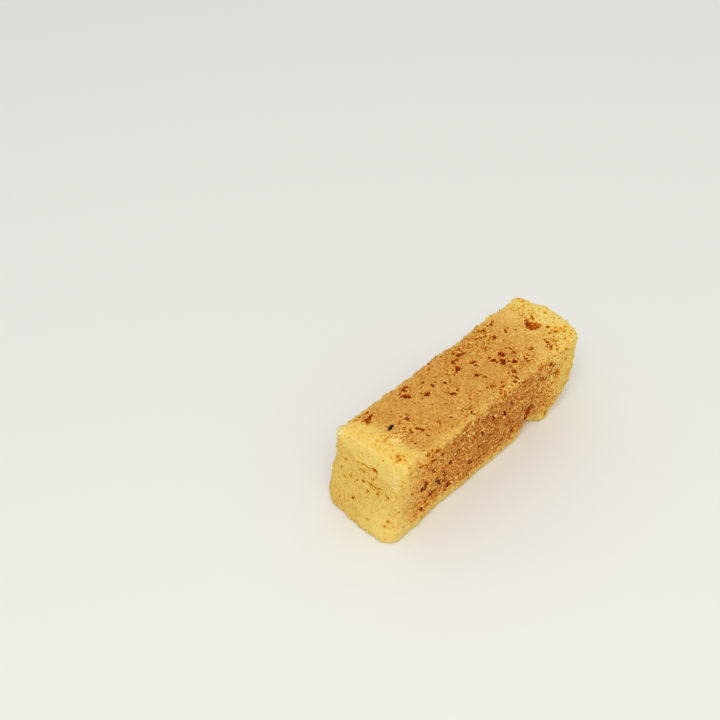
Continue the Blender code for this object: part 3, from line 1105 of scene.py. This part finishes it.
# %% Measure each corner
NEAR_FADE = ((0.5, 9.5), (2.0, 10.5))  # in mm from the end, on the sides and on the top
FAR_FADE = ((1.0, 12.0), (2.5, 10.0))
FOOT_SHARE = 0.5  # how pale the foot is
NEAR_SIDE_SHARE = 0.47  # beside the near end the long sides are less pale than the end itself
EDGE_SHARE = 0.42  # and how pale the top's rounded edge is
EDGE_TILTS = (0.9, 0.995)  # how far a face looks up, from that edge to the top
FADE_WANDER = 1.8  # in mm, how far the fades stray
FADE_WANDER_SIZE = 6 * MM
FADE_WANDER_LAYERS = (1, 2, 2)
HOLLOW_DEPTHS = (0.02, 0.14)  # in mm, over the lip of a hole
WALL_REACHES = (0.12, 0.3)  # in mm from the cutter, from a hole's wall to what isn't one
LIP_REACHES = (0.2, 0.75)  # in mm from a hole's wall, from where its lip is whole to where it ends


def hollow_share(places, depth):
    """1 on the walls of the holes, and 0 off them."""
    reach = at_each(places, lambda place: cutter_tree.find_nearest(place)[3]) / MM
    return smooth_step(depth / MM, *HOLLOW_DEPTHS) * (1 - smooth_step(reach, *WALL_REACHES))


def lip_share(places, hollow):
    """1 on the lips of the holes, and 0 in the holes and away from them."""
    walls = np.flatnonzero(hollow > 0.5)
    tree = KDTree(len(walls))
    for index in walls:
        tree.insert(places[index], index)
    tree.balance()
    reach = at_each(places, lambda place: tree.find(place)[2]) / MM
    return (1 - hollow) * (1 - smooth_step(reach, *LIP_REACHES))


def fade(distance, limits, skin):
    """1 at an end and 0 far from it, over a longer way on the skin than on the sides."""
    on_side, on_top = (1 - smooth_step(distance, *limit) for limit in limits)
    return between(on_side, on_top, skin)


def pale_share(places, outward):
    """1 where the fudge stayed yellow, and 0 where it browned."""
    skin = smooth_step(outward[:, 2], *SKIN_TILTS)
    layers = at_each(places, lambda place: noise.fractal(place / FADE_WANDER_SIZE, *FADE_WANDER_LAYERS))
    stray = FADE_WANDER * layers
    near = fade(from_near_cut(places) + stray, NEAR_FADE, skin)
    on_side = (1 - skin) * (1 - smooth_step(-outward[:, 0], *END_TILTS))
    near *= 1 - (1 - NEAR_SIDE_SHARE) * on_side
    far = fade(to_far_end(places) + stray, FAR_FADE, skin)
    foot = FOOT_SHARE * (1 - smooth_step(places[:, 2] / MM + stray / 2, *FOOT_FADE))
    edge = EDGE_SHARE * rim_share(places) * (1 - smooth_step(outward[:, 2], *EDGE_TILTS))
    return np.maximum.reduce((near, far, foot, edge))


def measure_corners(piece, sunk):
    """Stores the five numbers. Only a piece that has holes is sunk."""
    mesh = piece.data
    places = places_of(mesh)
    outward, depth = form_under(places)
    store(mesh, "pale", pale_share(places, outward))
    store(mesh, "skin", np.maximum(smooth_step(outward[:, 2], *SKIN_TILTS), rim_share(places)))
    hollow = hollow_share(places, depth) if sunk else 0 * depth
    store(mesh, "hollow", hollow)
    store(mesh, "lip", lip_share(places, hollow) if sunk else 0 * depth)
    store(mesh, "depth", np.maximum(depth, 0) / MM if sunk else 0 * depth)
    return depth / MM


bar_depth = measure_corners(bar, True)
measure_corners(crumbs, False)
print("deepest hole, mm:", round(bar_depth.max(), 2))

# %% [markdown]
# ## Paint
# Colours are read off as an eye reads them, in the 0 to 255 of a screen, and turned into the light
# values that Blender mixes. A few helpers keep the node trees short.


# %% Tools for materials
def paint(red, green, blue):
    """A screen colour as the light values that a shader takes."""
    values = [level / 255 for level in (red, green, blue)]
    return (*(v / 12.92 if v <= 0.04045 else ((v + 0.055) / 1.055) ** 2.4 for v in values), 1)


def make(tree, kind, inputs=None, **settings):
    """Adds a node to a tree, sets it up, and links or fills in its inputs."""
    node = tree.nodes.new("ShaderNode" + kind)
    for name, value in settings.items():
        setattr(node, name, value)
    for socket, value in (inputs or {}).items():
        if isinstance(value, bpy.types.NodeSocket):
            tree.links.new(value, node.inputs[socket])
        else:
            node.inputs[socket].default_value = value
    return node


def mixed(tree, share, first, second, way="MIX"):
    """The first colour where the share is 0, and the second, or both multiplied, where it is 1."""
    node = make(tree, "Mix", {0: share, 6: first, 7: second}, data_type="RGBA", blend_type=way)
    return node.outputs[2]


def spread(tree, value, low, high, out_low=0.0, out_high=1.0):
    """Stretches a value from one range to another, without going past it."""
    ranges = {"Value": value, "From Min": low, "From Max": high, "To Min": out_low, "To Max": out_high}
    return make(tree, "MapRange", ranges, clamp=True).outputs["Result"]


def math_of(tree, operation, *values):
    """The sum, product or the like of its values."""
    return make(tree, "Math", dict(enumerate(values)), operation=operation).outputs[0]


def strayed_by(tree, value, by, amount):
    """The value, moved up or down by a texture that runs from 0 to 1."""
    centred = math_of(tree, "SUBTRACT", by, 0.5)
    return math_of(tree, "ADD", value, math_of(tree, "MULTIPLY", centred, amount))


def cloud(tree, where, size, detail=3.0, rough=0.55):
    """Soft noise whose patches are about that size."""
    inputs = {"Vector": where, "Scale": 1 / size, "Detail": detail, "Roughness": rough}
    return make(tree, "TexNoise", inputs).outputs["Fac"]


def attribute(tree, name):
    """One of the numbers that the corners of the mesh carry."""
    return make(tree, "Attribute", attribute_name=name, attribute_type="GEOMETRY").outputs["Fac"]


def new_group(name, inputs, outputs):
    """An empty node group with named sockets, each given as its name and kind."""
    tree = bpy.data.node_groups.new(name, "ShaderNodeTree")
    for way, sockets in (("INPUT", inputs), ("OUTPUT", outputs)):
        for socket, kind in sockets.items():
            tree.interface.new_socket(socket, in_out=way, socket_type="NodeSocket" + kind)
    return tree, tree.nodes.new("NodeGroupInput"), tree.nodes.new("NodeGroupOutput")


def place_group(tree, group, inputs):
    return make(tree, "Group", inputs, node_tree=group).outputs


# %% [markdown]
# ## Pinholes
# The skin and the crumb are also full of pinholes far too small to cut. A Voronoi texture gives them:
# near the middle of a cell is a hole, in some cells only, and a noise bends the cells so that no hole
# is round. The group gives one mask, which the bump uses for depth and the colour for painted shade.

# %% Build the pinhole group
PINHOLE_CELL = 0.95 * MM
PINHOLE_BEND_SIZE = 0.35 * MM
PINHOLE_BEND = 0.32  # of a cell
PINHOLE_REACHES = (0.17, 0.3)  # of a cell, from the bottom of a hole to its rim
PINHOLE_SIZES = (0.5, 1.3)  # of that, from the smallest to the largest


def pinhole_group():
    tree, given, out = new_group("pinholes", {"Where": "Vector", "Share": "Float"}, {"Holes": "Float"})
    where, share = given.outputs["Where"], given.outputs["Share"]
    bend = make(tree, "TexNoise", {"Vector": where, "Scale": 1 / PINHOLE_BEND_SIZE}).outputs["Color"]
    centred = make(tree, "VectorMath", {0: bend, 1: (0.5, 0.5, 0.5)}, operation="SUBTRACT").outputs[0]
    amount = {0: centred, "Scale": PINHOLE_BEND * PINHOLE_CELL}
    by = make(tree, "VectorMath", amount, operation="SCALE").outputs[0]
    bent = make(tree, "VectorMath", {0: where, 1: by}, operation="ADD").outputs[0]
    cells = make(tree, "TexVoronoi", {"Vector": bent, "Scale": 1 / PINHOLE_CELL}).outputs
    parts = make(tree, "SeparateColor", {0: cells["Color"]}).outputs
    size = spread(tree, parts[1], 0.0, 1.0, *PINHOLE_SIZES)
    near = spread(tree, math_of(tree, "DIVIDE", cells["Distance"], size), *PINHOLE_REACHES, 1.0, 0.0)
    chosen = math_of(tree, "LESS_THAN", parts[0], share)
    tree.links.new(math_of(tree, "MULTIPLY", near, chosen), out.inputs["Holes"])
    return tree


pinholes = pinhole_group()
print("pinholes:", len(pinholes.nodes), "nodes")

# %% [markdown]
# ## The toasting
# Browned and pale fudge differ in more than lightness: the pale is a clear yellow, the skin an
# orange tan, and the crumb of the sides a deeper brown. So one ramp from dark to light wouldn't do:
# each of the three has its own, and runs through it grain by grain. The crumbled lips of the holes
# and the sugar, partly painted glints, lie on top. In a hole the light strikes the fudge again and
# again, and each time it takes on more of its colour. A Gamma node paints that light and shade into
# the colour, so tan holes turn rust and yellow ones turn gold; the gaps, cracks and pinholes get the
# same painted shade.

# %% Choose the colours
SKIN_TONES = paint(187, 119, 38), paint(229, 181, 94)
CRUMB_TONES = paint(184, 109, 38), paint(231, 174, 90)
PALE_TONES = paint(223, 187, 91), paint(237, 209, 120)
GOLD_COLOUR = paint(226, 158, 44)  # flecks in the pale fudge that began to brown
LIP_COLOUR = paint(242, 206, 122)
# pale sugar, partly painted glints of ghee
SUGAR_AND_GLINT_COLOUR = paint(242, 207, 124)
CHALK_COLOUR = paint(233, 227, 176)
GAMMA_TINT = paint(255, 224, 168)  # what a hole takes on besides: the redder tint of painted light bounced about inside it
DEEP_PAINTED_SHADES = paint(98, 20, 3), paint(148, 44, 8)  # painted shade deep in a hole, in the crumb and in the skin
print("skin, from dark to light:", [[round(value, 3) for value in tone[:3]] for tone in SKIN_TONES])

# %% Colour the surface
SOFT_LIMITS = (0.35, 0.65)  # a soft noise lies between these
FLECK_LIMITS = (0.3, 0.7)  # and a fine one between these
FLECK_DETAIL = 2.0
FLECK_SIZE = 0.5 * MM
FLECK_STRAYS = (0.3, 1.9)  # how far fine flecks move the tone, where fudge is whole and where porous
MOTTLE_SIZE = 4 * MM
MOTTLE_STRAY = 0.2
GRIT_STRAYS = (0.7, 0.4)  # on the crumb and on the skin
PATCH_SIZE = 1.2 * MM
PATCH_STRAY = 0.5  # how far larger flecks move how pale it is
PATCHES_FROM = 0.3  # how pale it has to be for the whole of that
LIMIT_STRAY = 0.7  # and how far the fine ones move the limit between pale and browned
LIMIT_ENDS = (0.05, 0.95)
GOLD_SIZE = 1.3 * MM
GOLD_LIMITS = (0.64, 0.72)
GOLD_SHARE = 0.6


def flecks(tree, given, size):
    return spread(tree, cloud(tree, given["Where"], size, FLECK_DETAIL), *FLECK_LIMITS)


def patchy_pale(tree, given):
    """How pale the fudge is, moved by larger flecks where it is pale at all."""
    amount = math_of(tree, "MULTIPLY", spread(tree, given["Pale"], 0.0, PATCHES_FROM), PATCH_STRAY)
    return strayed_by(tree, given["Pale"], flecks(tree, given, PATCH_SIZE), amount)


def light_of(tree, given, fleck):
    """How light the fudge is: its own tone with the painted light and shade, moved by flecks, mottle and
    grit.
    """
    mottle = spread(tree, cloud(tree, given["Where"], MOTTLE_SIZE), *SOFT_LIMITS)
    light = strayed_by(tree, given["Tone"], fleck, spread(tree, given["Porous"], 0.0, 1.0, *FLECK_STRAYS))
    light = strayed_by(tree, light, mottle, MOTTLE_STRAY)
    return strayed_by(tree, light, given["Grit"], spread(tree, given["Skin"], 0.0, 1.0, *GRIT_STRAYS))


def surface_colour(tree, given, pale):
    """Crumb, skin or pale fudge, each from its dark to its light tone."""
    fleck = flecks(tree, given, FLECK_SIZE)
    light = light_of(tree, given, fleck)
    crumb, skin, yellow = (mixed(tree, light, *pair) for pair in (CRUMB_TONES, SKIN_TONES, PALE_TONES))
    browned = mixed(tree, given["Skin"], crumb, skin)
    golden = spread(tree, cloud(tree, given["Where"], GOLD_SIZE, 1.0), *GOLD_LIMITS, 0.0, GOLD_SHARE)
    yellow = mixed(tree, golden, yellow, GOLD_COLOUR)
    limit = strayed_by(tree, strayed_by(tree, pale, fleck, LIMIT_STRAY), given["Tone"], LIMIT_STRAY)
    return mixed(tree, spread(tree, limit, *LIMIT_ENDS), browned, yellow)


# %% Colour the lips and the sugar
LIP_SIZE = 0.55 * MM
LIP_SHARE = 0.9
LIP_LIMITS = (0.5, 0.6)  # of the noise, from a lip's stains to its pale specks
STAIN_LIMITS = (0.46, 0.54)
LIP_GAMMA = 0.45  # between its pale specks a lip is stained


def strewn(tree, given, colour, specks):
    """The colour with the pale specks of the lips, the sugar with its painted glints, and the chalk on it.
    """
    crumbled = math_of(tree, "MULTIPLY", given["Lip"], spread(tree, specks, *LIP_LIMITS, 0.0, LIP_SHARE))
    colour = mixed(tree, crumbled, colour, LIP_COLOUR)
    colour = mixed(tree, given["Sugar"], colour, SUGAR_AND_GLINT_COLOUR)
    return mixed(tree, spread(tree, given["Sugar"], 1.0, CHALKY), colour, CHALK_COLOUR)


# %% Paint shade into the holes, gaps and pinholes
HOLE_DEPTHS = (0.1, 0.6)  # in mm, from the shallow part of a hole to where it is darkest
HOLE_SHARES = (0.65, 1.0)  # of its gamma, from the one to the other
HOLE_GAMMAS = (1.5, 1.8)  # added to 1 in a hole of the crumb and in one of the skin
PALE_GAMMA = 0.6  # of that where the fudge is pale
# painted shade in the gaps between grains, the crevices and the cracks
PAINTED_GAP_GAMMA = 0.6
# painted shade in the pinholes, which are too small to cut
PAINTED_PINHOLE_GAMMA = 1.9
DEEP_FROM = (0.2, 0.5)  # in mm, where a hole of the crumb and one of the skin start to be darkest
DEEP_OVER = 0.5  # in mm, from there to where it is
DEEP_SHADE = 0.85


def hole_share(tree, given, pale):
    """1 deep in a hole, and less where it is shallow or the fudge is pale."""
    deep = spread(tree, given["Depth"], *HOLE_DEPTHS, *HOLE_SHARES)
    in_hole = math_of(tree, "MULTIPLY", given["Hollow"], deep)
    return math_of(tree, "MULTIPLY", in_hole, spread(tree, pale, 0.0, 1.0, 1.0, PALE_GAMMA))


def gamma_of(tree, given, in_hole, specks):
    """1, and more as painted shade in a hole, a gap or a pinhole, and between the specks of a lip."""
    hole = math_of(tree, "MULTIPLY", in_hole, spread(tree, given["Skin"], 0.0, 1.0, *HOLE_GAMMAS))
    gap = math_of(tree, "MULTIPLY", given["Gap"], PAINTED_GAP_GAMMA)
    pinhole = math_of(tree, "MULTIPLY", given["Pinholes"], PAINTED_PINHOLE_GAMMA)
    stain = math_of(tree, "MULTIPLY", given["Lip"], spread(tree, specks, *STAIN_LIMITS, LIP_GAMMA, 0.0))
    added = math_of(tree, "ADD", math_of(tree, "MAXIMUM", hole, gap), pinhole)
    return math_of(tree, "ADD", math_of(tree, "ADD", added, stain), 1.0)


def with_stains_and_painted_shade(tree, given, colour, gamma, in_hole):
    """The colour with painted shade, as if the light had struck it again and again."""
    tint = mixed(tree, math_of(tree, "SUBTRACT", gamma, 1.0), (1, 1, 1, 1), GAMMA_TINT)
    darker = make(tree, "Gamma", {"Color": colour, "Gamma": gamma}).outputs[0]
    darker = mixed(tree, 1.0, darker, tint, "MULTIPLY")
    past = math_of(tree, "SUBTRACT", given["Depth"], spread(tree, given["Skin"], 0.0, 1.0, *DEEP_FROM))
    deep = math_of(tree, "MULTIPLY", in_hole, spread(tree, past, 0.0, DEEP_OVER, 0.0, DEEP_SHADE))
    return mixed(tree, deep, darker, mixed(tree, given["Skin"], *DEEP_PAINTED_SHADES))


# %% Build the toasting group
CORNER_NUMBERS = ("pale", "skin", "depth", "hollow", "lip", "tone", "gap", "porous", "sugar")


def toasting_group():
    names = [name.title() for name in (*CORNER_NUMBERS, "pinholes", "grit")]
    inputs = {"Where": "Vector", **dict.fromkeys(names, "Float")}
    tree, entry, out = new_group("toasting", inputs, {"Colour": "Color"})
    given = entry.outputs
    pale = patchy_pale(tree, given)
    specks = cloud(tree, given["Where"], LIP_SIZE, 1.0)
    colour = strewn(tree, given, surface_colour(tree, given, pale), specks)
    in_hole = hole_share(tree, given, pale)
    gamma = gamma_of(tree, given, in_hole, specks)
    tree.links.new(with_stains_and_painted_shade(tree, given, colour, gamma, in_hole), out.inputs["Colour"])
    return tree


toasting = toasting_group()
print("toasting:", len(toasting.nodes), "nodes")

# %% [markdown]
# ## The grain
# Under the real crumb lies a finer grain, too fine to model: flour and sugar. It could be an image,
# but a texture has no edge and no pixels. The group gives its height for a Bump node, and a tone for
# each of its grains, made darker towards the grain's border as painted shade.

# %% Build the grain group
GRAIN_NOISE_SIZE = 0.2 * MM
GRAIN_NOISE_DETAIL, GRAIN_NOISE_ROUGHNESS = 2.0, 0.6
GRIT_SIZE = 0.6 * MM
GRIT_FALL = 1.2  # how far a grain falls off from its middle
GRIT_PAINTED_SHADE = 0.9  # and how much darker it gets, as painted shade round each grain
GRIT_LIGHT = 0.35
PINHOLE_FALL = 1.5


def grain_group():
    tree, given, out = new_group(
        "grain", {"Where": "Vector", "Pinholes": "Float"}, {"Height": "Float", "Tone": "Float"}
    )
    where = given.outputs["Where"]
    grit = make(tree, "TexVoronoi", {"Vector": where, "Scale": 1 / GRIT_SIZE}).outputs
    fine = cloud(tree, where, GRAIN_NOISE_SIZE, GRAIN_NOISE_DETAIL, GRAIN_NOISE_ROUGHNESS)
    own = make(tree, "SeparateColor", {0: grit["Color"]}).outputs[0]
    rough = math_of(tree, "SUBTRACT", fine, math_of(tree, "MULTIPLY", grit["Distance"], GRIT_FALL))
    pits = math_of(tree, "MULTIPLY", given.outputs["Pinholes"], PINHOLE_FALL)
    dome_painted_shade = math_of(tree, "SUBTRACT", own, math_of(tree, "MULTIPLY", grit["Distance"], GRIT_PAINTED_SHADE))
    tree.links.new(math_of(tree, "SUBTRACT", rough, pits), out.inputs["Height"])
    tree.links.new(math_of(tree, "ADD", dome_painted_shade, GRIT_LIGHT), out.inputs["Tone"])
    return tree


grain = grain_group()
print("grain:", len(grain.nodes), "nodes")

# %% [markdown]
# ## The materials
# Fudge is full of ghee, so a little light passes through its grains and leaves them glowing. That is
# the subsurface part of the Principled shader. Its reach is less than half a millimetre, red furthest.
# One material serves the bar and its crumbs, and the numbers of each corner tell it what to be there.

# %% Mix the fudge
PINHOLE_SHARES = (0.12, 0.85)  # how many of the cells hold one, in whole and in porous fudge
GRAIN_BUMP = 0.3
GRAIN_BUMP_HEIGHT = 0.14 * MM
GHEE_GLOSS = (0.5, 0.8)  # roughness, from where the ghee lies to where it is dry
GHEE_SHINE = 0.06
GLOW = 0.4
GLOW_REACH = 0.4 * MM
GLOW_REACHES = (1.0, 0.45, 0.15)  # of it, in red, green and blue


def new_material(name):
    material = bpy.data.materials.new(name)
    material.use_nodes = True
    return material, material.node_tree, material.node_tree.nodes["Principled BSDF"]


def bumped(tree, strength, height):
    """The normal that the fine grain gives."""
    inputs = {"Strength": strength, "Distance": GRAIN_BUMP_HEIGHT, "Height": height}
    return make(tree, "Bump", inputs).outputs["Normal"]


def fudge_material():
    material, tree, shader = new_material("fudge")
    where = make(tree, "TexCoord").outputs["Object"]
    shares = {name.title(): attribute(tree, name) for name in CORNER_NUMBERS}
    share = spread(tree, shares["Porous"], 0.0, 1.0, *PINHOLE_SHARES)
    holes = place_group(tree, pinholes, {"Where": where, "Share": share})["Holes"]
    fine = place_group(tree, grain, {"Where": where, "Pinholes": holes})
    shares.update({"Pinholes": holes, "Grit": fine["Tone"]})
    colour = place_group(tree, toasting, {"Where": where, **shares})["Colour"]
    tree.links.new(colour, shader.inputs["Base Color"])
    dry = spread(tree, cloud(tree, where, FLECK_SIZE), *SOFT_LIMITS, *GHEE_GLOSS)
    tree.links.new(dry, shader.inputs["Roughness"])
    tree.links.new(bumped(tree, GRAIN_BUMP, fine["Height"]), shader.inputs["Normal"])
    shader.inputs["Specular IOR Level"].default_value = GHEE_SHINE
    shader.inputs["Subsurface Weight"].default_value = GLOW
    shader.inputs["Subsurface Radius"].default_value = GLOW_REACHES
    shader.inputs["Subsurface Scale"].default_value = GLOW_REACH
    return material


fudge = fudge_material()
for piece in (bar, crumbs):
    piece.data.materials.clear()
    piece.data.materials.append(fudge)
print("fudge:", len(fudge.node_tree.nodes), "nodes")

# %% Mix the scorched speck
SCORCHED_TONES = paint(26, 18, 14), paint(8, 6, 5)
SCORCHED_BUMP = 0.5
SCORCHED_ROUGHNESS = 0.8
SCORCHED_SHINE = 0.15


def scorched_material():
    material, tree, shader = new_material("scorched")
    where = make(tree, "TexCoord").outputs["Object"]
    tone = mixed(tree, cloud(tree, where, FLECK_SIZE), *SCORCHED_TONES)
    tree.links.new(tone, shader.inputs["Base Color"])
    height = place_group(tree, grain, {"Where": where, "Pinholes": 0.0})["Height"]
    tree.links.new(bumped(tree, SCORCHED_BUMP, height), shader.inputs["Normal"])
    shader.inputs["Roughness"].default_value = SCORCHED_ROUGHNESS
    shader.inputs["Specular IOR Level"].default_value = SCORCHED_SHINE
    return material


scorched = scorched_material()
speck.data.materials.append(scorched)
print("scorched:", len(scorched.node_tree.nodes), "nodes")

# %% [markdown]
# ## Put the pieces on the frame
# Every piece rides on the bar's one body, and the plain solid is hidden, so the finished bar shows in its
# place.

# %% Put each piece on the body and hide the plain solid
for piece in (bar, crumbs, speck):
    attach(piece, "root")
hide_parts(BAR_NODE)
print("pieces:", [piece.name for piece in (bar, crumbs, speck)])

# %% [markdown]
# ## Floor and light
# A pale floor and a large soft light from above, a little towards the near end, with a pale sky all
# round it. A sharper light would show the crumb more, but sweets are eaten under soft ones. Nothing
# here is part of the bar.

# %% Set up the floor and the light
FLOOR_COLOUR = paint(233, 234, 230)
FLOOR_REACH = 2.0
FLOOR_GAP = 0.05  # in mm, below the bar
FLOOR_ROUGHNESS = 0.6
SKY_COLOUR = paint(250, 249, 246)
SKY_STRENGTH = 0.72
LAMP_PLACE = Vector((-0.34, -0.33, 0.8))
LAMP_SIZE = 0.45
LAMP_POWER = 3.6
LAMP_COLOUR = (1, 0.99, 0.97)


def add_floor():
    bm = bmesh.new()
    bmesh.ops.create_grid(bm, x_segments=1, y_segments=1, size=FLOOR_REACH)
    bmesh.ops.translate(bm, vec=-Z * FLOOR_GAP * MM, verts=bm.verts)
    floor = add_piece("floor", bm)
    material, _, shader = new_material("pale_floor")
    shader.inputs["Base Color"].default_value = FLOOR_COLOUR
    shader.inputs["Roughness"].default_value = FLOOR_ROUGHNESS
    floor.data.materials.append(material)
    return floor


def add_lamp():
    data = bpy.data.lights.new("soft_lamp", "AREA")
    data.size = LAMP_SIZE
    data.energy = LAMP_POWER
    data.color = LAMP_COLOUR
    lamp = bpy.data.objects.new("soft_lamp", data)
    lamp.location = LAMP_PLACE
    lamp.rotation_euler = (-LAMP_PLACE).to_track_quat("-Z", "Y").to_euler()
    bpy.context.scene.collection.objects.link(lamp)


def add_sky():
    sky = bpy.data.worlds.new("sky")
    sky.use_nodes = True
    background = sky.node_tree.nodes["Background"]
    background.inputs["Color"].default_value = SKY_COLOUR
    background.inputs["Strength"].default_value = SKY_STRENGTH
    bpy.context.scene.world = sky


add_floor()
add_lamp()
add_sky()
bpy.context.scene.view_settings.view_transform = "Standard"
print("lamp above the floor, m:", round(LAMP_PLACE.z, 2))
